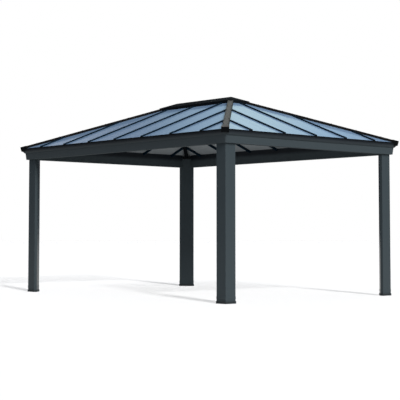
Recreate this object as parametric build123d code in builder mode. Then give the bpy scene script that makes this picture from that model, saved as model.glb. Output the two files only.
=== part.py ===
from build123d import *
import os
from math import atan, cos, radians, sin, sqrt, tan

# Metal gazebo: an open frame of four corner posts, a gutter beam on each side and
# a glazed hip roof with a raised cap along its ridge.
# Millimetres, +Z up, origin on the ground at the middle of the plan.
# The long sides face -Y (front) and +Y (back), the short ones -X (left) and +X (right).

os.makedirs("parts", exist_ok=True)

# Plan and roof
bar_spacing = 650
ridge_bays = 2
post_span_x = 4770
post_span_y = post_span_x - ridge_bays * bar_spacing
roof_pitch = 20.9
clear_height = 2170
seat_gap = 0.3

# Corner posts, a square leg whose inner corner is cut off
post_leg = 185
post_end_face = 48
post_wall = 3
post_edge_radius = 5
foot_plate = 6
foot_height = 34
foot_wall = 6

# Gutter beam and fascia
beam_inset = 64
beam_wall = 4
beam_bead_height = 22
beam_bead_depth = 4
fascia_foot_out = 32
fascia_lean = 11
fascia_band_height = 101
cove_height = 58
lip_height = 8
lip_depth = 5
eave_overhang = 80
gutter_mouth_inset = 12
trim_sheet = 3
trim_flange = 16

# Glazing
panel_thickness = 10
panel_side_gap = 2
panel_hip_gap = 9
panel_ridge_gap = 8
bar_cap_width = 40
bar_cap_top_width = 30
bar_cap_height = 18
bar_neck_width = 8
bar_web_width = 30
bar_web_depth = 34
bar_wall = 2.5

# Hips and ridge
hip_rafter_width = 60
hip_rafter_depth = 62
hip_rafter_wall = 3
hip_rafter_end = 25
hip_cover_width = 86
hip_cover_rise = 29
hip_cover_sheet = 3
hip_cover_edge_radius = 2
post_head_plate = 24
post_head_ear_height = 24
post_head_ear_length = 60
post_head_ear_sheet = 5
ridge_beam_width = 60
ridge_beam_depth = 80
ridge_beam_end = 60
ridge_beam_wall = 4
ridge_cap_reach = 205
ridge_cap_rise = 44
ridge_cap_sheet = 3
end_cap_width = 108
end_cap_back = 70
end_cap_front = 27
end_cap_drop = 31
end_cap_lift = 3
end_cap_radius = 10

# Worked out from the sizes above
half_x = post_span_x / 2
half_y = post_span_y / 2
eave_x = half_x + eave_overhang
eave_y = half_y + eave_overhang
ridge_half = eave_x - eave_y
pitch = radians(roof_pitch)
hip_pitch = atan(tan(pitch) / sqrt(2))
fascia_height = fascia_band_height + cove_height + lip_height
eave_z = clear_height + fascia_height
hip_length = eave_y * sqrt(2) / cos(hip_pitch)
tall = 2 * (eave_z + eave_y)
wide = 2 * (eave_x + eave_y)


def roof_z(inset, lift=0.0):
    """Height at a plan distance in from the eave, lifted square to the glazing's underside."""
    return eave_z + inset * tan(pitch) + lift / cos(pitch)


def hip_y(lift, across=0.0):
    """Height in a section square to the hip, at a lift above the glazing's underside."""
    return lift * cos(hip_pitch) / cos(pitch) - abs(across) * sin(hip_pitch)


# The right front hip runs down from the ridge's end. X of this plane is across the hip.
hip_plane = Plane(
    origin=(ridge_half, 0, roof_z(eave_y)),
    x_dir=(1, 1, 0),
    z_dir=(cos(hip_pitch), -cos(hip_pitch), -sqrt(2) * sin(hip_pitch)),
)
# X of this plane runs down along the hip, and its Z is square to the hip cover
cover_plane = Plane(origin=hip_plane.origin, x_dir=hip_plane.z_dir, z_dir=hip_plane.y_dir)
# X of this one runs outward over the right front eave corner
corner_plane = Plane(origin=(eave_x, -eave_y, 0), x_dir=(1, -1, 0), z_dir=(0, 0, 1))

# The seat of a hip rafter on its post, where the rafter meets the post's inner face
post_face_inset = eave_overhang + (post_leg + post_end_face) / 2
post_head_z = roof_z(post_face_inset) - hip_rafter_depth / cos(hip_pitch)
post_top = post_head_z - post_head_plate


def roof_solid(lift, reach_x, reach_y):
    """Everything under one level of the hip roof, within a plan rectangle."""
    gable = [
        (-reach_y, 0),
        (reach_y, 0),
        (reach_y, roof_z(eave_y - reach_y, lift)),
        (0, roof_z(eave_y, lift)),
        (-reach_y, roof_z(eave_y - reach_y, lift)),
    ]
    length = [
        (-reach_x, 0),
        (reach_x, 0),
        (reach_x, roof_z(eave_x - reach_x, lift)),
        (ridge_half, roof_z(eave_y, lift)),
        (-ridge_half, roof_z(eave_y, lift)),
        (-reach_x, roof_z(eave_x - reach_x, lift)),
    ]
    with BuildPart() as solid:
        with BuildSketch(Plane.YZ):
            Polygon(*gable, align=None)
        extrude(amount=reach_x, both=True)
        with BuildSketch(Plane.XZ):
            Polygon(*length, align=None)
        extrude(amount=reach_y, both=True, mode=Mode.INTERSECT)
    return solid.part


def post_outline(grow):
    """Points of a right front post's section, grown outward by a margin."""
    x = half_x + grow
    y = -half_y - grow
    leg = post_leg + 2 * grow
    end = post_end_face + sqrt(2) * grow
    return [(x, y), (x - leg, y), (x - leg, y + end), (x - end, y + leg), (x, y + leg)]


def slope_field(eave, half, eave_gap, hip_gap, top_gap):
    """Plan outline of one slope, facing -Y, held back from its eave, hips and top."""
    low = eave - eave_gap
    side = half - eave - hip_gap * sqrt(2)
    top = eave - eave_y + top_gap
    if side + top > 1:
        return [(-side - low, -low), (side + low, -low), (side + top, -top), (-side - top, -top)]
    return [(-side - low, -low), (side + low, -low), (0, side)]


def bar_places(half):
    """Where glazing bars stand along an eave, equally spaced either side of its middle."""
    each_side = int((half - bar_spacing / 2) // bar_spacing)
    return [step * bar_spacing for step in range(-each_side, each_side + 1)]


def save(piece, name):
    piece.label = name
    export_step(piece, f"parts/{name}.step")


def save_at_corners(piece, name):
    """Write a right front corner piece and its three copies."""
    save(piece, f"front_right_{name}")
    with BuildPart() as front_left:
        mirror(piece, about=Plane.YZ)
    save(front_left.part, f"front_left_{name}")
    with BuildPart() as back_right:
        mirror(piece, about=Plane.XZ)
    save(back_right.part, f"back_right_{name}")
    with BuildPart() as back_left:
        add(piece, rotation=(0, 0, 180))
    save(back_left.part, f"back_left_{name}")


def save_turned(piece, name, turn):
    """Write a piece made facing -Y, turned to the side that it belongs to."""
    with BuildPart() as turned:
        add(piece, rotation=(0, 0, turn))
    save(turned.part, name)


# Posts
with BuildPart() as post:
    with BuildSketch(Plane.XY.offset(foot_plate)):
        Polygon(*post_outline(0), align=None)
        fillet(vertices(), radius=post_edge_radius)
        offset(amount=-post_wall, mode=Mode.SUBTRACT)
    extrude(amount=post_top - foot_plate)
save_at_corners(post.part, "post")

# Foot shoes, a plate under each post with a low wall round it
with BuildPart() as foot:
    with BuildSketch():
        Polygon(*post_outline(foot_wall + seat_gap), align=None)
        fillet(vertices(), radius=post_edge_radius)
    extrude(amount=foot_height)
    with BuildSketch(Plane.XY.offset(foot_plate)):
        Polygon(*post_outline(seat_gap), align=None)
    extrude(amount=foot_height, mode=Mode.SUBTRACT)
save_at_corners(foot.part, "foot")

# Post heads, a plate with two ears that hold the hip rafter
with BuildPart() as head:
    with BuildSketch(Plane.XY.offset(post_top)):
        Polygon(*post_outline(0), align=None)
    extrude(amount=post_head_plate)
    ear_y = hip_rafter_width / 2 + seat_gap + post_head_ear_sheet / 2
    ear_x = -(post_face_inset * sqrt(2)) + post_head_ear_length / 2
    with BuildSketch(corner_plane.offset(post_head_z)):
        with Locations((ear_x, ear_y), (ear_x, -ear_y)):
            Rectangle(post_head_ear_length, post_head_ear_sheet)
    extrude(amount=post_head_ear_height)
save_at_corners(head.part, "post_head")


def gutter_beam(eave, half):
    """A gutter with its moulded fascia, facing -Y, mitred at both ends round the posts."""
    face = eave - eave_overhang
    inner = face - beam_inset
    foot_y = -(face + fascia_foot_out)
    band_y = foot_y - fascia_lean
    lip_y = -eave + lip_depth
    band_z = clear_height + fascia_band_height
    cove_z = band_z + cove_height
    with BuildPart() as beam:
        with BuildSketch(Plane.YZ):
            with BuildLine():
                Polyline((-inner, clear_height), (foot_y, clear_height), (band_y, band_z))
                RadiusArc((band_y, band_z), (lip_y, cove_z), cove_height)
                Polyline(
                    (lip_y, cove_z),
                    (-eave, cove_z),
                    (-eave, roof_z(0, -seat_gap)),
                    (-inner, roof_z(eave - inner, -seat_gap)),
                    (-inner, clear_height),
                )
            make_face()
            offset(amount=-beam_wall, mode=Mode.SUBTRACT)
            with BuildLine():
                Polyline(
                    (-inner - beam_wall, cove_z),
                    (lip_y + gutter_mouth_inset, cove_z),
                    (lip_y + gutter_mouth_inset, tall / 2),
                    (-inner - beam_wall, tall / 2),
                    close=True,
                )
            make_face(mode=Mode.SUBTRACT)
            with Locations((-inner, clear_height)):
                Rectangle(beam_bead_depth, beam_bead_height, align=(Align.MIN, Align.MIN))
        extrude(amount=half, both=True)
        with BuildSketch():
            Polygon(*slope_field(eave, half, 0, seat_gap / 2, eave_y / 2), align=None)
        extrude(amount=tall, mode=Mode.INTERSECT)
    return beam.part


def eave_trim(eave, half):
    """An angle over the glazing's lower edge, standing on the fascia's lip."""
    flange = trim_sheet + seat_gap + panel_thickness
    with BuildPart() as trim:
        with BuildSketch(Plane.YZ):
            Polygon(
                (-eave, roof_z(0)),
                (-eave, roof_z(0, flange)),
                (-eave + trim_flange, roof_z(trim_flange, flange)),
                (-eave + trim_flange, roof_z(trim_flange, flange - trim_sheet)),
                (-eave + trim_sheet, roof_z(trim_sheet, flange - trim_sheet)),
                (-eave + trim_sheet, roof_z(trim_sheet)),
                align=None,
            )
        extrude(amount=half, both=True)
        with BuildSketch():
            Polygon(*slope_field(eave, half, 0, seat_gap / 2, eave_y / 2), align=None)
        extrude(amount=tall, mode=Mode.INTERSECT)
    return trim.part


def roof_panels(eave, half):
    """The sheets of one slope, parted by the glazing bars."""
    edge = trim_sheet + seat_gap
    with BuildPart() as panels:
        with BuildSketch(Plane.YZ):
            Polygon(
                (-eave, roof_z(0)),
                (-eave + eave_y, roof_z(eave_y)),
                (-eave + eave_y, roof_z(eave_y, panel_thickness)),
                (-eave, roof_z(0, panel_thickness)),
                align=None,
            )
        extrude(amount=half, both=True)
        with BuildSketch():
            Polygon(*slope_field(eave, half, edge, panel_hip_gap, panel_ridge_gap), align=None)
            with Locations(*[(place, -eave) for place in bar_places(half)]):
                Rectangle(bar_neck_width + 2 * panel_side_gap, wide, mode=Mode.SUBTRACT)
        extrude(amount=tall, mode=Mode.INTERSECT)
    return panels.part


def glazing_bars(eave, half, top_gap):
    """Hollow bars under the joints of the sheets, each with a raised cap over its joint."""
    top = eave - eave_y
    section = Plane(
        origin=(0, -top, roof_z(eave_y)),
        x_dir=(1, 0, 0),
        z_dir=(0, -cos(pitch), -sin(pitch)),
    )
    run = eave_y / cos(pitch)
    places = [(place, 0) for place in bar_places(half)]
    web_eave_gap = eave_overhang + beam_inset + seat_gap
    web_hip_gap = hip_rafter_width / 2 + seat_gap
    cap_hip_gap = hip_cover_width / 2 + seat_gap
    with BuildPart() as webs:
        with BuildSketch(section):
            with Locations(*places):
                with Locations((0, -seat_gap)):
                    Rectangle(bar_web_width, bar_web_depth, align=(Align.CENTER, Align.MAX))
                with Locations((0, -seat_gap - bar_wall)):
                    Rectangle(
                        bar_web_width - 2 * bar_wall,
                        bar_web_depth - 2 * bar_wall,
                        align=(Align.CENTER, Align.MAX),
                        mode=Mode.SUBTRACT,
                    )
        extrude(amount=run)
        with BuildSketch():
            Polygon(*slope_field(eave, half, web_eave_gap, web_hip_gap, top_gap), align=None)
        extrude(amount=tall, mode=Mode.INTERSECT)
    with BuildPart() as bars:
        with BuildSketch(section):
            with Locations(*places):
                with Locations((0, -seat_gap)):
                    Rectangle(
                        bar_neck_width,
                        panel_thickness + 3 * seat_gap,
                        align=(Align.CENTER, Align.MIN),
                    )
                with Locations((0, panel_thickness + seat_gap)):
                    Polygon(
                        (-bar_cap_width / 2, 0),
                        (bar_cap_width / 2, 0),
                        (bar_cap_top_width / 2, bar_cap_height - seat_gap),
                        (-bar_cap_top_width / 2, bar_cap_height - seat_gap),
                        align=None,
                    )
        extrude(amount=run)
        with BuildSketch():
            Polygon(
                *slope_field(
                    eave, half, trim_flange + seat_gap, cap_hip_gap, ridge_cap_reach + seat_gap
                ),
                align=None,
            )
        extrude(amount=tall, mode=Mode.INTERSECT)
        add(webs.part)
    return bars.part


# Each side of the roof: its eave's distance, half its length, its turn from -Y
# and how far its bars stop short of the ridge's line
beam_side_gap = ridge_beam_width / 2 + seat_gap
beam_end_gap = ridge_beam_end + seat_gap
sides = {
    "front": (eave_y, eave_x, 0, beam_side_gap),
    "right": (eave_x, eave_y, 90, beam_end_gap),
    "back": (eave_y, eave_x, 180, beam_side_gap),
    "left": (eave_x, eave_y, 270, beam_end_gap),
}

# The four post outlines that the beams are notched round
with BuildPart() as post_notches:
    with BuildSketch(Plane.XY.offset(clear_height)):
        Polygon(*post_outline(seat_gap), align=None)
        mirror(about=Plane.XZ)
        mirror(about=Plane.YZ)
    extrude(amount=tall, both=True)

for side, (eave, half, turn, top_gap) in sides.items():
    with BuildPart() as beam:
        add(gutter_beam(eave, half), rotation=(0, 0, turn))
        add(post_notches.part, mode=Mode.SUBTRACT)
    save(beam.part, f"{side}_gutter_beam")
    save_turned(eave_trim(eave, half), f"{side}_eave_trim", turn)
    save_turned(roof_panels(eave, half), f"{side}_roof_panels", turn)
    save_turned(glazing_bars(eave, half, top_gap), f"{side}_glazing_bars", turn)

# Ridge beam, a closed tube whose top follows the slopes and whose ends take the hips
ridge_beam_z = roof_z(eave_y) - ridge_beam_depth
ridge_beam_half = ridge_half + ridge_beam_end
with BuildPart() as ridge_bore:
    with BuildSketch(Plane.XY.offset(ridge_beam_z + ridge_beam_wall)):
        Rectangle(2 * (ridge_beam_half - ridge_beam_wall), ridge_beam_width - 2 * ridge_beam_wall)
    extrude(amount=2 * ridge_beam_depth)
    add(roof_solid(-seat_gap - ridge_beam_wall, eave_x, eave_y), mode=Mode.INTERSECT)
with BuildPart() as ridge_beam:
    with BuildSketch(Plane.XY.offset(ridge_beam_z)):
        Rectangle(2 * ridge_beam_half, ridge_beam_width)
    extrude(amount=2 * ridge_beam_depth)
    add(roof_solid(-seat_gap, eave_x, eave_y), mode=Mode.INTERSECT)
    add(ridge_bore.part, mode=Mode.SUBTRACT)
save(ridge_beam.part, "ridge_beam")

# Ridge cap, a folded cover with a skirt all round that stands on the glazing
cap_x = ridge_half + ridge_cap_reach
with BuildPart() as ridge_cap:
    add(roof_solid(panel_thickness + ridge_cap_rise, cap_x, ridge_cap_reach))
    add(
        roof_solid(
            panel_thickness + ridge_cap_rise - ridge_cap_sheet,
            cap_x - ridge_cap_sheet,
            ridge_cap_reach - ridge_cap_sheet,
        ),
        mode=Mode.SUBTRACT,
    )
    add(roof_solid(panel_thickness + seat_gap, eave_x, eave_y), mode=Mode.SUBTRACT)
save(ridge_cap.part, "ridge_cap")

# Hip rafters, tubes with a ridged top, cut level where they sit on the post heads
with BuildPart() as hip_rafter:
    side_y = hip_y(-seat_gap, hip_rafter_width / 2)
    rafter_start = hip_rafter_depth * sin(hip_pitch) / 2
    rafter_end_inset = eave_overhang + hip_rafter_end
    with BuildSketch(hip_plane.offset(rafter_start)):
        Polygon(
            (-hip_rafter_width / 2, -hip_rafter_depth),
            (hip_rafter_width / 2, -hip_rafter_depth),
            (hip_rafter_width / 2, side_y),
            (0, hip_y(-seat_gap)),
            (-hip_rafter_width / 2, side_y),
            align=None,
        )
        offset(amount=-hip_rafter_wall, mode=Mode.SUBTRACT)
    extrude(amount=hip_length * (1 - rafter_end_inset / eave_y) - rafter_start)
    split(bisect_by=Plane.XY.offset(post_head_z), keep=Keep.TOP)
    with BuildSketch():
        Rectangle(2 * (ridge_beam_half + seat_gap), ridge_beam_width + 2 * seat_gap)
    extrude(amount=tall, mode=Mode.SUBTRACT)
save_at_corners(hip_rafter.part, "hip_rafter")

# Hip covers, channels over the hip joints from the end caps up to the ridge cap
cover_top = hip_y(panel_thickness) + hip_cover_rise
with BuildPart() as hip_cover:
    outside = hip_cover_width / 2
    inside = outside - hip_cover_sheet
    with BuildSketch(hip_plane):
        with BuildLine():
            Polyline(
                (outside, hip_y(panel_thickness + seat_gap, outside)),
                (outside, cover_top),
                (-outside, cover_top),
                (-outside, hip_y(panel_thickness + seat_gap, outside)),
                (-inside, hip_y(panel_thickness + seat_gap, inside)),
                (-inside, cover_top - hip_cover_sheet),
                (inside, cover_top - hip_cover_sheet),
                (inside, hip_y(panel_thickness + seat_gap, inside)),
                close=True,
            )
        make_face()
        fillet(vertices().group_by(Axis.Y)[-1], radius=hip_cover_edge_radius)
    extrude(amount=hip_length)
    with BuildSketch():
        Rectangle(2 * (cap_x + seat_gap), 2 * (ridge_cap_reach + seat_gap))
    extrude(amount=tall, mode=Mode.SUBTRACT)
    with BuildSketch(corner_plane):
        with Locations((-end_cap_back - seat_gap, 0)):
            Rectangle(wide, wide, align=(Align.MIN, Align.CENTER))
    extrude(amount=tall, mode=Mode.SUBTRACT)
save_at_corners(hip_cover.part, "hip_cover")

# Hip end caps, moulded blocks that close the covers and wrap the fascia's corners. Their
# outer face is square to the hip, so that its foot leans in.
cap_top = cover_top + end_cap_lift
cap_run = hip_length + (end_cap_front - cap_top * sin(hip_pitch)) / cos(hip_pitch)
with BuildPart() as end_cap:
    with BuildSketch(cover_plane.offset(cap_top)):
        with Locations((cap_run, 0)):
            Rectangle(wide, end_cap_width, align=(Align.MAX, Align.CENTER))
        fillet(vertices().group_by(Axis.X)[-1], radius=end_cap_radius)
    extrude(amount=-tall)
    with BuildSketch(corner_plane.offset(eave_z - end_cap_drop)):
        with Locations((-end_cap_back, 0)):
            Rectangle(wide, wide, align=(Align.MIN, Align.CENTER))
    extrude(amount=tall, mode=Mode.INTERSECT)
    trimmed = trim_sheet + seat_gap + panel_thickness
    add(roof_solid(trimmed + seat_gap, eave_x + seat_gap, eave_y + seat_gap), mode=Mode.SUBTRACT)
save_at_corners(end_cap.part, "hip_end_cap")
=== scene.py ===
# %% [markdown]
# # A garden gazebo with a glazed hip roof
#
# The real object is a metal frame of four square posts, four moulded gutter beams and a
# hip roof of pale blue sheets between dark bars. The measured solids come in as a packed
# model. This lesson dresses them: it sets a camera, a floor and light, mixes a finish for
# each material, and adds the small parts that a fitter would bring in a box, such as
# gaskets, screws, end plugs and bolts.

# %% Load the measured frame
from math import atan, cos, pi, radians, sin, sqrt, tan

import bpy
from mathutils import Matrix, Vector


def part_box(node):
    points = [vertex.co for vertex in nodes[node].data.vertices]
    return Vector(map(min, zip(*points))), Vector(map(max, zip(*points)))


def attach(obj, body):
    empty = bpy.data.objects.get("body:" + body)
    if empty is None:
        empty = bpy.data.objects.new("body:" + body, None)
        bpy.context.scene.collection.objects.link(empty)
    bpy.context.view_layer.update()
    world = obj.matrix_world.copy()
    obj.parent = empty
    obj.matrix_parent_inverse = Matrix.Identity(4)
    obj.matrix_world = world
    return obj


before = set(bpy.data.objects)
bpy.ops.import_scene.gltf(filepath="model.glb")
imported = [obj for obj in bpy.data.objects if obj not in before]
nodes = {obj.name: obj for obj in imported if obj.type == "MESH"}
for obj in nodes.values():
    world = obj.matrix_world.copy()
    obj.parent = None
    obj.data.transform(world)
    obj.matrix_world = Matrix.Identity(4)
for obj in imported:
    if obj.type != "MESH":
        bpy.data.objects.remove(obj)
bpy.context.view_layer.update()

# %% [markdown]
# ## Camera
#
# The photographer stood about nineteen metres away with a long lens at waist height and
# looked slightly up, so the posts stay upright and the roof is seen almost edge on. A
# small lens shift frames the picture without tilting the camera further.
# The camera could be moved by eye, but its place was worked out from the post and roof
# lines, so every part falls where the photograph has it.

# %% Place the camera
lens_mm, sensor_mm, lens_shift, sight_limit = 105.26, 36, -0.0814, 500
camera_place = (13.9185, -12.4741, 0.9115)
camera_tilt_up, camera_turn = 3.3563, 48.2955

scene = bpy.context.scene
camera_data = bpy.data.cameras.new("studio_camera")
camera = bpy.data.objects.new("studio_camera", camera_data)
scene.collection.objects.link(camera)
camera_data.sensor_width, camera_data.lens = sensor_mm, lens_mm
camera_data.shift_y, camera_data.clip_end = lens_shift, sight_limit
camera.location = camera_place
camera.rotation_euler = (radians(90 + camera_tilt_up), 0, radians(camera_turn))
scene.camera = camera
print("camera is", round(camera.location.length, 1), "m from the middle of the plan")

# %% [markdown]
# ## Sums on wires
#
# A procedural finish is a small sum: so much of this noise, less that mask. Typing such
# sums node by node hides the idea, so one small class wraps an output socket and turns
# the usual signs into Math nodes. Any other kind of node comes from its one method,
# which first makes the settings, such as an operation, and then fills the inputs with
# plain values or with other wires.


# %% A wire that can be added and multiplied
class Wire:
    """One output socket of a node tree, for use in sums."""

    def __init__(self, socket):
        self.socket = socket

    @staticmethod
    def node(tree, kind, settings=None, inputs=None, output=0):
        made = tree.nodes.new("ShaderNode" + kind)
        for name, value in (settings or {}).items():
            setattr(made, name, value)
        for name, value in (inputs or {}).items():
            if isinstance(value, Wire):
                tree.links.new(value.socket, made.inputs[name])
            else:
                made.inputs[name].default_value = value
        return Wire(made.outputs[output])

    def sum(self, operation, first, second=0.0):
        return Wire.node(self.socket.id_data, "Math", {"operation": operation}, {0: first, 1: second})

    def __add__(self, other):
        return self.sum("ADD", self, other)

    __radd__ = __add__

    def __sub__(self, other):
        return self.sum("SUBTRACT", self, other)

    def __rsub__(self, other):
        return self.sum("SUBTRACT", other, self)

    def __mul__(self, other):
        return self.sum("MULTIPLY", self, other)

    __rmul__ = __mul__

    def __abs__(self):
        return self.sum("ABSOLUTE", self)

    def __gt__(self, other):
        return self.sum("GREATER_THAN", self, other)

    def step(self, low, high):
        """0 below low, 1 above high, and a smooth rise between them."""
        smooth = {"interpolation_type": "SMOOTHSTEP"}
        return Wire.node(self.socket.id_data, "MapRange", smooth, {0: self, 1: low, 2: high})

    def along(self, axis):
        """One of the three numbers of a place or a direction, by its letter."""
        return Wire.node(self.socket.id_data, "SeparateXYZ", None, {0: self}, axis)


print("a wire knows", [sign for sign in ("__add__", "__sub__", "__mul__", "__gt__") if hasattr(Wire, sign)])

# %% [markdown]
# Colours need a node of their own, because a Math node would turn them grey. They are
# written here as they look on a screen, which is easy to compare with a photograph, and
# turned into the shader's even steps of light once, in Python.


# %% Mix and write colours
def mixed(tree, share, first, second):
    """The first colour, going over to the second as share goes from 0 to 1."""
    return Wire.node(tree, "Mix", {"data_type": "RGBA"}, {0: share, 6: first, 7: second}, 2)


def colour(red, green, blue):
    """A colour as it is written for a screen, 0 to 255, worked out for the shader."""
    written = [part / 255 for part in (red, green, blue)]
    return (*[p / 12.92 if p <= 0.04045 else ((p + 0.055) / 1.055) ** 2.4 for p in written], 1)


print("white is", colour(255, 255, 255))

# %% [markdown]
# ## Air in the studio
#
# The photograph was taken in a white studio, and a ray straight from the camera sees
# that plain white. Gloss sees a simple room instead: dark near the floor, a pale band
# above it, a dark ceiling, and one soft window behind the gazebo. The window is what
# makes the sheets near the front corner bright. Matt surfaces get a quiet, slightly cool
# fill, so that a paint renders about as written. A picture of a room could do the same,
# but a few plain tones can be changed one by one.

# %% Choose the tones of the room
white, quiet_fill = (1, 1, 1, 1), (0.27, 0.285, 0.315, 1)
near_floor, pale_band = (0.03, 0.033, 0.042, 1), (0.63, 0.66, 0.72, 1)
dark_ceiling = (0.04, 0.045, 0.055, 1)
window_rim, window_heart = (0.35, 0.49, 0.56, 1), (0.68, 0.86, 0.78, 1)
# heights are the Z of a direction of length 1, from where a tone starts to where it is full
band_foot, band_head = (0.15, 0.25), (0.310, 0.335)
window_side, window_height = radians(134), radians(23.5)
rim_angles, heart_angles = (radians(12.5), radians(6)), (radians(7.2), radians(2.5))
print("the window stands", round(window_side / pi * 180), "degrees round the plan")


# %% Fill the studio with air
def direction(side, height):
    """The way towards something, from its angle round the plan and above the floor."""
    return Vector((cos(side) * cos(height), sin(side) * cos(height), sin(height)))


def ray_kinds(tree):
    """1 for a ray straight from the camera, and 1 for a mirrored or passing ray."""
    names = ("Is Camera Ray", "Is Glossy Ray", "Is Transmission Ray")
    straight, mirrored, passing = (Wire.node(tree, "LightPath", output=name) for name in names)
    return straight, mirrored + passing


def studio_air():
    world = bpy.data.worlds.new("studio_air")
    world.use_nodes = True
    tree = world.node_tree
    straight, glossy = ray_kinds(tree)
    towards = Wire.node(tree, "TexCoord", output="Generated")
    height = towards.along("Z")
    window = {0: towards, 1: direction(window_side, window_height)}
    nearness = Wire.node(tree, "VectorMath", {"operation": "DOT_PRODUCT"}, window, "Value")
    room = mixed(tree, height.step(*band_head), pale_band, dark_ceiling)
    for angles, tone in ((rim_angles, window_rim), (heart_angles, window_heart)):
        room = mixed(tree, nearness.step(*[cos(angle) for angle in angles]), room, tone)
    room = mixed(tree, height.step(*band_foot), near_floor, room)
    seen = mixed(tree, straight, mixed(tree, glossy, quiet_fill, room), white)
    tree.links.new(seen.socket, tree.nodes["Background"].inputs["Color"])
    return world


scene.world = studio_air()
scene.view_settings.view_transform = "Standard"
print("air has", len(scene.world.node_tree.nodes), "nodes")

# %% [markdown]
# ## Lamps
#
# The right faces of the posts are lighter than the left ones, and long soft shadows run
# left over the floor, so the key is a tall, narrow bank of light far to the right. The
# gazebo gets it as one area lamp. On a wide floor such a lamp would fade with distance,
# so the floor has banks of its own, cut into suns that light nothing else. The high bank
# carries the shadows of the posts and the low one those of the end beams, so that each
# kind can be set by itself.

# %% Choose the lamps' places
lamp_colour = (1.0, 0.985, 0.96)
bank_distance, bank_width, bank_height = 75, 4.0, 43.0
bank_side, bank_middle = radians(-12), radians(34)
floor_bank_side, floor_bank_slices = radians(-20.5), 6
slice_overlap = 1.3
object_light = 0.82
# for each floor bank: its lower and upper edge in degrees above the floor, and its strength
high_bank, low_bank = (29, 49, 0.98), (19, 34, 2.07)
print("the key bank is", bank_height, "m tall and", bank_distance, "m away")


# %% Hang the lamps
def listed(name, items, state):
    """A collection that tells a lamp which things it lights or is shaded by."""
    chosen = bpy.data.collections.new(name)
    for item in items:
        chosen.objects.link(item)
    for entry in chosen.collection_objects:
        entry.light_linking.link_state = state
    return chosen


def hung(name, kind, way, distance=0):
    data = bpy.data.lights.new(name, kind)
    data.color = lamp_colour
    lamp = bpy.data.objects.new(name, data)
    lamp.location = way * distance
    lamp.rotation_mode = "QUATERNION"
    lamp.rotation_quaternion = way.to_track_quat("Z", "Y")
    scene.collection.objects.link(lamp)
    return lamp


def object_lamp(floor, strength):
    """The bank of light as the gazebo sees it: tall, narrow and far away."""
    lamp = hung("key_lamp", "AREA", direction(bank_side, bank_middle), bank_distance)
    lamp.data.shape, lamp.data.size, lamp.data.size_y = "RECTANGLE", bank_width, bank_height
    lamp.data.energy = strength * (pi * bank_distance) ** 2
    lamp.light_linking.receiver_collection = listed("key_lights", [floor], "EXCLUDE")


def floor_lamps(name, floor, low, high, strength, shading):
    """A bank of light for the floor, cut into suns so that it doesn't fade far away."""
    for n in range(floor_bank_slices):
        height = radians(low + (high - low) * (n + 0.5) / floor_bank_slices)
        lamp = hung(f"{name}_{n}", "SUN", direction(floor_bank_side, height))
        lamp.data.energy = pi * strength / floor_bank_slices / sin(height)
        lamp.data.angle = radians(slice_overlap * (high - low) / floor_bank_slices)
        lamp.light_linking.receiver_collection = listed(f"{name}_lights_{n}", [floor], "INCLUDE")
        lamp.light_linking.blocker_collection = listed(f"{name}_shade_{n}", shading, "INCLUDE")


print("a floor bank is", floor_bank_slices, "suns")

# %% [markdown]
# ## Floor
#
# The floor is stage only: a wide, matt, pale disc. Seen by the camera it comes out just
# white, and its shadows stay. Light that bounces off it is held back, since a real sweep
# is darker around the photographed part, and the beams' undersides are dim in the photo.
# One material does both, because it can tell a ray of the camera from the others.

# %% Lay the floor
floor_seen, floor_bounced = (0.305, 0.309, 0.317, 1), (0.138, 0.138, 0.138, 1)
no_glow, gloss_glow = (0, 0, 0, 1), (0.05, 0.05, 0.05, 1)
floor_radius, floor_corners = 200, 64


def pale_floor():
    material = bpy.data.materials.new("pale_floor")
    material.use_nodes = True
    tree = material.node_tree
    tree.nodes.clear()
    straight, glossy = ray_kinds(tree)
    bounced = Wire.node(tree, "BsdfDiffuse", None, {"Color": floor_bounced})
    seen = Wire.node(tree, "BsdfDiffuse", None, {"Color": floor_seen})
    matt = Wire.node(tree, "MixShader", None, {0: straight, 1: bounced, 2: seen})
    glow = Wire.node(tree, "Emission", None, {"Color": mixed(tree, glossy, no_glow, gloss_glow)})
    surface = Wire.node(tree, "AddShader", None, {0: matt, 1: glow})
    output = tree.nodes.new("ShaderNodeOutputMaterial")
    tree.links.new(surface.socket, output.inputs["Surface"])
    return material


def floor_disc():
    """A wide disc round the gazebo."""
    mesh = bpy.data.meshes.new("studio_floor")
    turns = [2 * pi * n / floor_corners for n in range(floor_corners)]
    points = [(floor_radius * cos(turn), floor_radius * sin(turn), 0) for turn in turns]
    mesh.from_pydata(points, [], [list(range(floor_corners))])
    floor = bpy.data.objects.new("studio_floor", mesh)
    floor.data.materials.append(pale_floor())
    scene.collection.objects.link(floor)
    return floor


floor = floor_disc()
posts = [solid for name, solid in nodes.items() if name.endswith(("post", "foot"))]
end_beams = [nodes["right_gutter_beam"], nodes["left_gutter_beam"]]
object_lamp(floor, object_light)
floor_lamps("floor_lamp", floor, *high_bank, posts)
floor_lamps("low_floor_lamp", floor, *low_bank, end_beams)
print("floor is", floor.dimensions.x, "m across")

# %% [markdown]
# ## Powder coat
#
# The frame is aluminium under a baked powder coat. Close up, such a coat is not flat: it
# has a fine orange peel, it is a touch glossier here than there, and dust settles on
# what faces up. What faces down stays dull. The hollow and lip above the fascia carry
# painted shade, near black, with the lip taken as a dark trim too. The hip covers' pale
# tops are dust and painted sheen, which rain has drawn into faint lengthwise streaks, and
# their edges are darker as painted shade. One recipe makes every painted part, with its
# own colour and gloss.


# %% Start a material and wire it
def new_material(name):
    material = bpy.data.materials.new(name)
    material.use_nodes = True
    return material, material.node_tree, material.node_tree.nodes["Principled BSDF"]


def fill_in(tree, shader, **values):
    """Set or wire the shader's sockets, with underscores for the spaces in their names."""
    for name, value in values.items():
        socket = shader.inputs[name.replace("_", " ")]
        if isinstance(value, Wire):
            tree.links.new(value.socket, socket)
        else:
            socket.default_value = value


def surface_place(tree):
    """Where a point of the surface is, in metres."""
    return Wire.node(tree, "TexCoord", output="Object")


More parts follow.
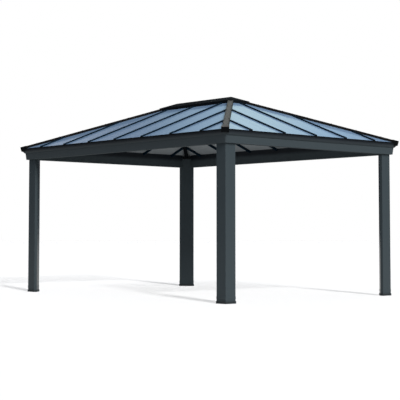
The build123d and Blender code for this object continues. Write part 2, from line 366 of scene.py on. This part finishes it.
def facing(tree, axis="Z"):
    """How far the surface looks along an axis, from -1 to 1."""
    return Wire.node(tree, "NewGeometry", output="Normal").along(axis)


def noise(tree, where, scale, detail=2.0):
    return Wire.node(tree, "TexNoise", None, {"Vector": where, "Scale": scale, "Detail": detail}, "Fac")


def bumped(tree, strength, depth, height):
    """A surface direction that leans with a height, for the shader's Normal."""
    relief = {"Strength": strength, "Distance": depth, "Height": height}
    return Wire.node(tree, "Bump", None, relief, "Normal")


print("finishes can be started")

# %% Draw the marks of rain on a hip, and the painted shade at its edges
streaks_across, streaks_along, streak_contrast = 55, 6, (0.3, 0.7)
# the band beside a hip cover's edges where painted shade takes away part of its pale top, and how much
shaded_edge_band, edge_shade_share = (0.025, 0.06), 0.45
# how far along X the hips run beside the diagonals through the middle of the plan
ridge_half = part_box("right_gutter_beam")[1].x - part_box("back_gutter_beam")[1].y


def hip_streaks_and_edge_shade(tree, where):
    """Faint marks that run down along a hip, whichever of the four it is, and its edges, where painted
    shade falls.
    """
    x, y = abs(where.along("X")), abs(where.along("Y"))
    run = {"X": (x - y) * streaks_across, "Y": (x + y) * streaks_along}
    streak = noise(tree, Wire.node(tree, "CombineXYZ", None, run), 1, 3).step(*streak_contrast)
    return streak, abs(x - y - ridge_half).step(*shaded_edge_band)


print("the hips run", round(ridge_half, 3), "m beside the diagonals")

# %% Mix a powder coat
# how far a face has to look up or down, from where a change starts to where it is full
roofward, groundward = (0.55, 1.0), (0.6, 0.9)
cloud_scale, speck_scale, peel_scale = 3.1, 90, 420
peel_strength, peel_depth = 0.1, 0.0006
haze, film, drift = 0.05, 0.12, 0.3  # shares of dust, which on the hip covers is also painted sheen: everywhere, on top, and in patches on top
gloss_swing, chalky = 0.08, 0.95


def powder_coat(name, base, dust_and_sheen_colour, rough, shine, painted_shade_band=None, streaks=0.0):
    material, tree, shader = new_material(name)
    where = surface_place(tree)
    upward = facing(tree).step(*roofward)
    dull = 1 - upward if streaks else (0 - facing(tree)).step(*groundward)
    # a band by height goes over to a near-black painted shade: the hollow under the eave's lip, and the lip
    # as a dark trim too
    if painted_shade_band:
        low, high, shade_colour = painted_shade_band
        base = mixed(tree, where.along("Z").step(low, high), base, shade_colour)
    cloud, speck = noise(tree, where, cloud_scale), noise(tree, where, speck_scale, 4)
    # dust on what faces up; on the hip covers and end caps this pale top is painted sheen as well
    dust_and_sheen = upward * (film + drift * cloud * speck) + haze * cloud
    if streaks:
        # rain streaks on the hip covers, and painted shade that darkens their edges
        streak, edge = hip_streaks_and_edge_shade(tree, where)
        dust_and_sheen = (dust_and_sheen + upward * streak * streaks) * (1 - edge_shade_share * edge)
    gloss = rough - gloss_swing + 2 * gloss_swing * cloud + gloss_swing * upward
    fill_in(
        tree,
        shader,
        Base_Color=mixed(tree, dust_and_sheen, base, dust_and_sheen_colour),
        Roughness=gloss + (chalky - rough) * dull,
        Normal=bumped(tree, peel_strength, peel_depth, noise(tree, where, peel_scale, 1)),
        Specular_IOR_Level=shine,
    )
    return material


print("a coat's gloss swings by", gloss_swing, "either way")

# %% Mix the seven coats
hollow_and_lip_shade = (2.262, 2.335, colour(23, 29, 36))  # the heights where the fascia's hollow and lip go over to a near-black painted shade
# the pale tone is dust and painted sheen, for the tops of the hip covers and end caps
grey_dust, pale_dust_and_sheen = colour(96, 98, 98), colour(149, 142, 137)
# the fascia's hollow and lip carry a near-black painted shade
frame_paint = powder_coat("frame_paint", colour(62, 72, 77), grey_dust, 0.46, 0.16, painted_shade_band=hollow_and_lip_shade)
post_paint = powder_coat("post_paint", colour(64, 74, 79), grey_dust, 0.2, 0.16)
roof_paint = powder_coat("roof_trim_paint", colour(17, 20, 24), colour(48, 49, 50), 0.5, 0.01)
# the bars' blue-black is their own dark paint and painted shade of their sides
shaded_bar_paint = powder_coat("shaded_bar_paint", colour(10, 31, 45), colour(30, 44, 55), 0.5, 0.01)
# black hip covers whose pale, streaked tops are dust and painted sheen, with painted shade along their
# edges
cover_paint = powder_coat("hip_cover_paint", colour(6, 6, 7), pale_dust_and_sheen, 0.35, 0.22, streaks=0.3)
foot_paint = powder_coat("foot_paint", colour(48, 55, 59), colour(84, 86, 88), 0.5, 0.2)
fitting_paint = powder_coat("fitting_paint", colour(20, 22, 25), colour(60, 60, 62), 0.45, 0.1)
coats = (frame_paint, post_paint, roof_paint, shaded_bar_paint, cover_paint, foot_paint, fitting_paint)
print("coats:", [coat.name for coat in coats])

# %% [markdown]
# ## Roof sheets
#
# The sheets are multiwall polycarbonate: two thin skins with ribs between them, so a
# sheet carries fine flutes that run down the slope. The outer skin is a pale blue, partly
# its own tint and partly a painted reflection of the sky, with soft streaks down the slope
# where rain has run, and shines at a low angle. The inner one is a plain milky grey, made
# lighter as painted light for what comes through the sheet. Real sheets let some light
# through; a painted skin on each face gives the same two colours from every side and bakes
# well. The flutes are a stripe pattern across the slope, and which skin a point is on comes
# from where it faces.

# %% Mix the roof sheets
flute_width, flute_share = 0.011, 0.12
flute_strength, flute_depth = 0.05, 0.0006
rain_across, rain_down, sheet_cloud_scale = 17, 1.1, 1.3
cloud_share, rain_share, skin_turn = 0.4, 0.6, (-0.2, 0.2)
outer_rough, cloud_rough, inner_rougher = 0.10, 0.04, 0.3
sheet_ior, sheet_shine = 1.55, 0.2


def sheet_material():
    material, tree, shader = new_material("roof_sheet")
    where, face_x, face_y = surface_place(tree), facing(tree, "X"), facing(tree, "Y")
    plan_x, plan_y = where.along("X"), where.along("Y")
    end_slope = (face_x * face_x) > (face_y * face_y)
    across = plan_x + end_slope * (plan_y - plan_x)
    down = plan_y + end_slope * (plan_x - plan_y)
    run = Wire.node(tree, "CombineXYZ", None, {"X": across * rain_across, "Y": down * rain_down})
    rain = noise(tree, run, 1, 3).step(*streak_contrast)
    wave = Wire.node(tree, "Math", {"operation": "SINE"}, {0: across * (2 * pi / flute_width)})
    flute = 0.5 + 0.5 * wave
    outer = facing(tree).step(*skin_turn)
    cloud = noise(tree, where, sheet_cloud_scale)
    washed = cloud_share * cloud + rain_share * rain
    # the outer blue is the sheet's tint with a painted reflection of the sky
    outer_tint_and_sky_reflection = mixed(tree, washed, colour(137, 168, 205), colour(155, 187, 220))
    # the inner grey is lighter as painted light for what comes through the sheet
    inner_tint_and_light_through = mixed(tree, cloud, colour(142, 149, 152), colour(155, 161, 164))
    skin_tint_and_painted_light = mixed(tree, outer, inner_tint_and_light_through, outer_tint_and_sky_reflection)
    fill_in(
        tree,
        shader,
        Base_Color=mixed(tree, flute * flute_share, skin_tint_and_painted_light, colour(90, 117, 150)),
        Roughness=outer_rough + cloud_rough * cloud + inner_rougher * (1 - outer),
        Normal=bumped(tree, flute_strength, flute_depth, flute),
        IOR=sheet_ior,
        Specular_IOR_Level=sheet_shine,
    )
    return material


roof_sheet = sheet_material()
print("sheet mixed with", len(roof_sheet.node_tree.nodes), "nodes")

# %% [markdown]
# ## Moulded plastic, rubber and zinc
#
# The four end caps at the hips are moulded, with the fine spark texture that hides sink
# marks, and their tops take the same pale dust and painted sheen as the covers. The
# gaskets are soft black rubber. Screw heads are zinc under a thin black coat, worn a
# little by the driver.

# %% Mix the moulded plastic
spark_scale, plastic_cloud_scale, spark_strength, spark_depth = 900, 14, 0.25, 0.0003
least_dust_and_sheen, more_dust_and_sheen = 0.2, 0.4
plastic_rough, spark_rough, plastic_shine = 0.5, 0.15, 0.06


def moulded_plastic():
    material, tree, shader = new_material("moulded_plastic")
    where = surface_place(tree)
    spark, cloud = noise(tree, where, spark_scale, 3), noise(tree, where, plastic_cloud_scale)
    upward = facing(tree).step(*roofward)
    black = mixed(tree, cloud, colour(5, 8, 10), colour(11, 14, 16))
    fill_in(
        tree,
        shader,
        # the tops take the pale dust and painted sheen of the hip covers
        Base_Color=mixed(tree, upward * (least_dust_and_sheen + more_dust_and_sheen * cloud), black, pale_dust_and_sheen),
        Roughness=plastic_rough + spark_rough * spark,
        Normal=bumped(tree, spark_strength, spark_depth, spark),
        Specular_IOR_Level=plastic_shine,
    )
    return material


end_cap_plastic = moulded_plastic()
print(end_cap_plastic.name, "mixed")

# %% Mix the rubber and the zinc
bloom_scale, grain_scale, grain_strength, grain_depth = 40, 1200, 0.2, 0.0002
rubber_rough, bloom_rough, rubber_shine = 0.7, 0.15, 0.2
wear_scale, wear_contrast = 260, (0.62, 0.72)
bare_metal, zinc_rough, worn_smoother = 0.8, 0.5, 0.15


def rubber():
    material, tree, shader = new_material("gasket_rubber")
    where = surface_place(tree)
    bloom = noise(tree, where, bloom_scale, 3)
    fill_in(
        tree,
        shader,
        Base_Color=mixed(tree, bloom, colour(14, 14, 15), colour(30, 30, 31)),
        Roughness=rubber_rough + bloom_rough * bloom,
        Normal=bumped(tree, grain_strength, grain_depth, noise(tree, where, grain_scale)),
        Specular_IOR_Level=rubber_shine,
    )
    return material


def coated_zinc():
    material, tree, shader = new_material("coated_zinc")
    where = surface_place(tree)
    worn = noise(tree, where, wear_scale, 3).step(*wear_contrast)
    fill_in(
        tree,
        shader,
        Base_Color=mixed(tree, worn, colour(34, 37, 40), colour(150, 152, 154)),
        Metallic=worn * bare_metal,
        Roughness=zinc_rough - worn_smoother * worn,
    )
    return material


gasket_rubber, screw_zinc = rubber(), coated_zinc()
print(gasket_rubber.name, "and", screw_zinc.name, "mixed")

# %% [markdown]
# ## Paint the measured solids
#
# The solids keep their shapes. Each one already has a material slot, so its finish is
# put into that slot. A node's last words say what it is.

# %% Paint the solids
finishes = {
    "post": post_paint,
    "foot": foot_paint,
    "post_head": fitting_paint,
    "hip_rafter": roof_paint,
    "hip_cover": cover_paint,
    "hip_end_cap": end_cap_plastic,
    "gutter_beam": frame_paint,
    "eave_trim": roof_paint,
    "roof_panels": roof_sheet,
    "glazing_bars": shaded_bar_paint,
    "ridge_beam": roof_paint,
    "ridge_cap": roof_paint,
}
painted = 0
for name, solid in nodes.items():
    ending = max((e for e in finishes if name.endswith(e)), key=len)
    for slot in solid.material_slots:
        slot.material = finishes[ending]
        painted += 1
print("painted", painted, "slots")

# %% [markdown]
# ## Sizes shared by the small parts
#
# Each gasket and screw has to sit on the surface that carries it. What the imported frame
# can tell is measured from its boxes. The roof's pitch and the sections of a few parts
# can't be read off a box, so they are repeated here in metres.

# %% Measure the roof
pitch = radians(20.9)
hip_pitch = atan(tan(pitch) / sqrt(2))
eave_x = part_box("right_gutter_beam")[1].x
eave_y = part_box("back_gutter_beam")[1].y
sheet_edge_gap = 0.0033
eave_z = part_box("front_roof_panels")[0].z - sheet_edge_gap * tan(pitch)
sheet_top = 0.010
bar_spacing, bar_top = 0.650, 0.0280
cover_gap, ridge_gap = 0.0434, 0.2056
print("eaves at", round(eave_x, 3), round(eave_y, 3), "and", round(eave_z, 3), "m up")

# Each side: its eave's distance, half its length, its turn from the front
sides = {
    "front": (eave_y, eave_x, 0),
    "right": (eave_x, eave_y, 90),
    "back": (eave_y, eave_x, 180),
    "left": (eave_x, eave_y, 270),
}
corners = {"front_left": (-1, -1), "front_right": (1, -1), "back_left": (-1, 1), "back_right": (1, 1)}


# %% Find places on the roof
def roof_z(inset, lift=0.0):
    """Height at a plan distance in from the eave, lifted square to the sheets' underside."""
    return eave_z + inset * tan(pitch) + lift / cos(pitch)


def turned(point, turn):
    return Matrix.Rotation(radians(turn), 3, "Z") @ Vector(point)


def on_slope(eave, turn, x, inset, lift):
    """A point on a side's slope: x along its eave, then in from the eave, then up."""
    return turned((x, inset - eave, roof_z(inset, lift)), turn)


def bar_places(half):
    """Where glazing bars stand along an eave, equally spaced either side of its middle."""
    each_side = int((half - bar_spacing / 2) // bar_spacing)
    return [step * bar_spacing for step in range(-each_side, each_side + 1)]


def line_top(half, x):
    """How far in from the eave a line up the slope meets a hip cover or the ridge cap."""
    return min(half - abs(x) - cover_gap * sqrt(2), eave_y - ridge_gap)


print("bars on a long and a short side:", len(bar_places(eave_x)), len(bar_places(eave_y)))

# %% [markdown]
# ## One way to make a piece
#
# Every small part below is a loft: the same outline several times over, joined by side
# faces. A loft checks its own signed volume, so that its faces always look outward. One
# more helper turns its points and faces into a mesh, shades it, gives it its finish and
# lets it ride on the frame's one body. Modifiers could sweep and mirror too, but plain
# lists show where every corner comes from.


# %% Loft a body
def loft(rings):
    """Points and faces of a closed body through rings of the same count, with flat ends."""
    count = len(rings[0])
    points = [Vector(p) for ring in rings for p in ring]
    faces = [list(range(count))[::-1]]
    for low in range(0, len(points) - count, count):
        for n in range(count):
            after = (n + 1) % count
            faces.append([low + n, low + after, low + count + after, low + count + n])
    faces.append(list(range(len(points) - count, len(points))))
    volume = 0
    for face in faces:
        first, *others = (points[n] - points[0] for n in face)
        volume += sum(first.dot(a.cross(b)) for a, b in zip(others, others[1:]))
    # a body whose rings turn the other way would be inside out, so its faces are turned round
    return points, faces if volume > 0 else [face[::-1] for face in faces]


def gathered(parts):
    """Several lists of points and faces as one."""
    points, faces = [], []
    for part_points, part_faces in parts:
        faces += [[n + len(points) for n in face] for face in part_faces]
        points += part_points
    return points, faces


square_prism = [[(0, 0, z), (1, 0, z), (1, 1, z), (0, 1, z)] for z in (0, 1)]
print("a loft through two squares has", len(loft(square_prism)[1]), "faces")

# %% Make a piece
sharp_from = radians(30)


def new_piece(name, points, faces, material, slot):
    mesh = bpy.data.meshes.new(name)
    mesh.from_pydata([tuple(p) for p in points], [], faces)
    mesh.validate()
    mesh.update()
    mesh.materials.append(material)
    mesh.shade_smooth()
    mesh.set_sharp_from_angle(angle=sharp_from)
    piece = bpy.data.objects.new(name, mesh)
    scene.collection.objects.link(piece)
    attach(piece, "root")
    return piece


print("edges stay sharp from", round(sharp_from / pi * 180), "degrees")

# %% [markdown]
# ## Gaskets along the glazing bars
#
# Rain must not run under a bar, so each bar presses a rubber lip on the sheet on both
# sides. The lip is a small wedge, swept from the eave up to where a hip cover or the
# ridge cap takes over. Cutting each of its edges at its own height gives the mitre.

# %% Lay the gaskets
trim_flange = 0.0166
# across from the bar's middle, and up from the sheets' underside
lip_section = [(0.0200, 0.0100), (0.0252, 0.0100), (0.0248, 0.0108), (0.0218, 0.0123), (0.0197, 0.0125)]


def lip_strip(eave, half, turn, place, section):
    """A lip's section swept up a slope beside one bar, to the hip cover or ridge cap."""
    rings = [[], []]
    for across, lift in section:
        x = place + across
        for ring, inset in zip(rings, (trim_flange, line_top(half, x))):
            ring.append(on_slope(eave, turn, x, inset, lift))
    return loft(rings)


for side, (eave, half, turn) in sides.items():
    strips = []
    for place in bar_places(half):
        strips.append(lip_strip(eave, half, turn, place, lip_section))
        other_lip = [(-across, lift) for across, lift in lip_section[::-1]]
        strips.append(lip_strip(eave, half, turn, place, other_lip))
    gaskets = new_piece(f"{side}_bar_gaskets", *gathered(strips), gasket_rubber, "black_plastic")
    print(gaskets.name, len(strips), "lips")

# %% [markdown]
# ## Plugs in the bars' lower ends
#
# A hollow bar is closed at the eave with a moulded plug. It is a plate of the bar's own
# outline, with its edge broken by a small chamfer, just outside the end of the bar.

# %% Plug the bars
bar_end, plug_thickness, plug_chamfer, hair_gap = 0.0163, 0.0025, 0.0006, 0.0001
plug_outline = [(-0.0205, 0.0140), (0.0205, 0.0140), (0.0155, 0.0284), (-0.0155, 0.0284)]
plug_middle, plug_face = 0.0212, 0.94


def plug(eave, turn, place):
    rings = []
    for out, grow in ((0, 1), (plug_thickness - plug_chamfer, 1), (plug_thickness, plug_face)):
        y = bar_end - hair_gap - out - eave
        ring = []
        for across, lift in plug_outline:
            z = roof_z(bar_end, plug_middle + (lift - plug_middle) * grow)
            ring.append(turned((place + across * grow, y, z), turn))
        rings.append(ring)
    return loft(rings)


for side, (eave, half, turn) in sides.items():
    plugs = [plug(eave, turn, place) for place in bar_places(half)]
    new_piece(f"{side}_bar_plugs", *gathered(plugs), end_cap_plastic, "black_plastic")
    print(side, len(plugs), "plugs")

# %% [markdown]
# ## Screws
#
# Covers and caps are held by hexagon screws with a flange and a rubber washer under it.
# One screw is a stack of rings: washer, flange, hexagon and the hexagon's chamfer. It is
# made once and then placed with a matrix wherever the fitter would drive one.

# %% Make one screw
screw_facets = 18
screw_rings = [  # radius, height, flat sides of a hexagon
    (0.0078, 0.0000, False),
    (0.0080, 0.0006, False),
    (0.0076, 0.0012, False),
    (0.0068, 0.0012, False),
    (0.0066, 0.0022, False),
    (0.0050, 0.0026, True),
    (0.0049, 0.0058, True),
    (0.0040, 0.0064, True),
]


def screw(place, size=1.0):
    """A screw's points and faces under a matrix whose Z is its axis."""
    rings = []
    for radius, height, hexagon in screw_rings:
        ring = []
        for n in range(screw_facets):
            turn = 2 * pi * n / screw_facets
            reach = radius
            if hexagon:
                reach = radius * cos(pi / 6) / cos((turn % (pi / 3)) - pi / 6)
            ring.append(place @ Vector((reach * cos(turn) * size, reach * sin(turn) * size, height * size)))
        rings.append(ring)
    return loft(rings)


def seat(origin, along, up):
    """A matrix at origin whose X runs along, and whose Z is the surface's outward direction."""
    x, z = Vector(along).normalized(), Vector(up).normalized()
    y = z.cross(x)
    return Matrix.Translation(origin) @ Matrix((x, y, z)).transposed().to_4x4()


def slope_seat(eave, turn, x, inset, lift):
    """The seat of a screw that stands square on a side's slope."""
    up = turned((0, -sin(pitch), cos(pitch)), turn)
    return seat(on_slope(eave, turn, x, inset, lift), turned((1, 0, 0), turn), up)


print("a screw has", len(screw(Matrix())[1]), "faces")

# %% Screw down the bars
end_margin, bar_screw_spacing = 0.06, 0.42
for side, (eave, half, turn) in sides.items():
    screws = []
    for place in bar_places(half):
        run = line_top(half, place) - 2 * end_margin
        count = max(1, round(run / bar_screw_spacing))
        for n in range(count + 1):
            inset = end_margin + run * n / count
            screws.append(screw(slope_seat(eave, turn, place, inset, bar_top)))
    new_piece(f"{side}_bar_screws", *gathered(screws), screw_zinc, None)
    print(side, len(screws), "bar screws")

# %% [markdown]
# The hip covers have a row of the same screws along each edge, and so has the skirt of
# the ridge cap.

# %% Screw down the hip covers
cover_rise, cover_screw_out, cover_screw_rows = 0.029, 0.029, 6
cover_lift = (sheet_top * cos(hip_pitch) / cos(pitch) + cover_rise) / cos(hip_pitch)
cover_low, cover_high, first_row = 0.075, eave_y - 0.30, 0.10
for corner, (sx, sy) in corners.items():
    out = Vector((sx, sy, 0)).normalized()
    up = out * sin(hip_pitch) + Vector((0, 0, cos(hip_pitch)))
    along = out * cos(hip_pitch) - Vector((0, 0, sin(hip_pitch)))
    across = up.cross(along)
    screws = []
    for n in range(cover_screw_rows):
        inset = cover_low + first_row + (cover_high - cover_low - first_row) * n / (cover_screw_rows - 1)
        height = eave_z + inset * tan(pitch) + cover_lift
        middle = Vector((sx * (eave_x - inset), sy * (eave_y - inset), height))
        for edge in (-1, 1):
            screws.append(screw(seat(middle + across * edge * cover_screw_out, along, up)))
    new_piece(f"{corner}_hip_cover_screws", *gathered(screws), screw_zinc, None)
    print(corner, len(screws), "cover screws")

# %% Screw down the ridge cap
cap_reach, cap_rise, cap_screw_in, cap_screw_spacing = 0.205, 0.044, 0.030, 0.35
cap_inset = eave_y - cap_reach + cap_screw_in
screws = []
for eave, half, turn in sides.values():
    reach = half - cap_inset - end_margin
    count = max(1, round(2 * reach / cap_screw_spacing))
    for n in range(count + 1):
        x = -reach + 2 * reach * n / count
        screws.append(screw(slope_seat(eave, turn, x, cap_inset, sheet_top + cap_rise)))
new_piece("ridge_cap_screws", *gathered(screws), screw_zinc, None)
print(len(screws), "screws in the ridge cap")

# %% [markdown]
# ## Bolts in the post heads, screws in the feet
#
# A hip rafter is bolted between the two ears of its post head, and each foot shoe is
# screwed to its post through the low wall. Both are the same screw at another size.

# %% Bolt the heads and screw the feet
post_half_x, post_half_y, post_leg, post_end = 2.385, 1.735, 0.185, 0.048
post_inset, ear_half_gap, bolt_size, bolt_drop = 0.080, 0.0353, 1.35, 0.012
head_inset = post_inset + (post_leg + post_end) / 2
bolt_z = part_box("front_right_post_head")[1].z - bolt_drop
foot_out, foot_screw_z, foot_screw_size = 0.0063, 0.021, 0.8
bolt_backs, foot_screw_runs = (0.015, 0.045), (0.045, 0.140)
for corner, (sx, sy) in corners.items():
    out = Vector((sx, sy, 0)).normalized()
    across = Vector((0, 0, 1)).cross(out)
    bolts = []
    for back in bolt_backs:
        # the ears stand outward from the post's inner face along the diagonal
        middle = Vector((sx * eave_x, sy * eave_y, bolt_z)) - out * (head_inset * sqrt(2) - back)
        for edge in (-1, 1):
            spot = middle + across * edge * ear_half_gap
            bolts.append(screw(seat(spot, out, across * edge), bolt_size))
    new_piece(f"{corner}_head_bolts", *gathered(bolts), screw_zinc, "black_fittings")
    feet = []
    for run in foot_screw_runs:
        spot = Vector((sx * (post_half_x + foot_out), sy * (post_half_y - run), foot_screw_z))
        feet.append(screw(seat(spot, (0, 0, 1), (sx, 0, 0)), foot_screw_size))
        spot = Vector((sx * (post_half_x - run), sy * (post_half_y + foot_out), foot_screw_z))
        feet.append(screw(seat(spot, (0, 0, 1), (0, sy, 0)), foot_screw_size))
    new_piece(f"{corner}_foot_screws", *gathered(feet), screw_zinc, None)
    print(corner, len(bolts), "bolts and", len(feet), "foot screws")

# %% [markdown]
# ## Collars above the feet
#
# Two fine lines run round each post just above its foot, where a thin trim collar
# covers the joint of the base sleeve. It follows the post's five-sided section with
# rounded corners and has a chamfer at its top and bottom. A scaled copy of the post
# would move its faces unevenly, so the outline is grown outward edge by edge.

# %% Trace the post's outline
corner_radius, corner_shares = 0.005, (0, 0.25, 0.5, 0.75, 1)


def post_ring(grow, z, sx, sy):
    """The post's five-sided outline at a height, grown outward, with rounded corners."""
    radius = corner_radius + grow
    end, leg = post_end + sqrt(2) * grow, post_leg + 2 * grow
    x, y = post_half_x + grow, -post_half_y - grow
    outline = [(x, y), (x - leg, y), (x - leg, y + end), (x - end, y + leg), (x, y + leg)]
    ring = []
    for n, corner in enumerate(outline):
        here = Vector(corner)
        before, after = Vector(outline[n - 1]), Vector(outline[(n + 1) % 5])
        back, on = (before - here).normalized(), (after - here).normalized()
        half_angle = back.angle(on) / 2
        start, stop = here + back * radius / tan(half_angle), here + on * radius / tan(half_angle)
        middle = here + (back + on).normalized() * radius / sin(half_angle)
        for share in corner_shares:
            spoke = (start - middle).normalized().slerp((stop - middle).normalized(), share) * radius
            ring.append((sx * (middle.x + spoke.x), -sy * (middle.y + spoke.y), z))
    return ring


print("a post's outline has", len(post_ring(0, 0, 1, -1)), "points")

# %% Fit the collars
collar_low, collar_high, collar_out, collar_chamfer = 0.058, 0.096, 0.0028, 0.0015
collar_levels = [  # how far out, how far up
    (hair_gap, collar_low),
    (collar_out - collar_chamfer, collar_low),
    (collar_out, collar_low + collar_chamfer),
    (collar_out, collar_high - collar_chamfer),
    (collar_out - collar_chamfer, collar_high),
    (hair_gap, collar_high),
]
for corner, (sx, sy) in corners.items():
    rings = [post_ring(grow, z, sx, sy) for grow, z in collar_levels]
    points, faces = loft(rings + rings[:1])
    # the loft ends where it began, so its two flat ends go and its last ring is its first
    used = len(points) - len(rings[0])
    wall = [[n % used for n in face] for face in faces[1:-1]]
    collar = new_piece(f"{corner}_post_collar", points[:used], wall, post_paint, "frame_paint")
    print(collar.name, "has", len(wall), "faces")
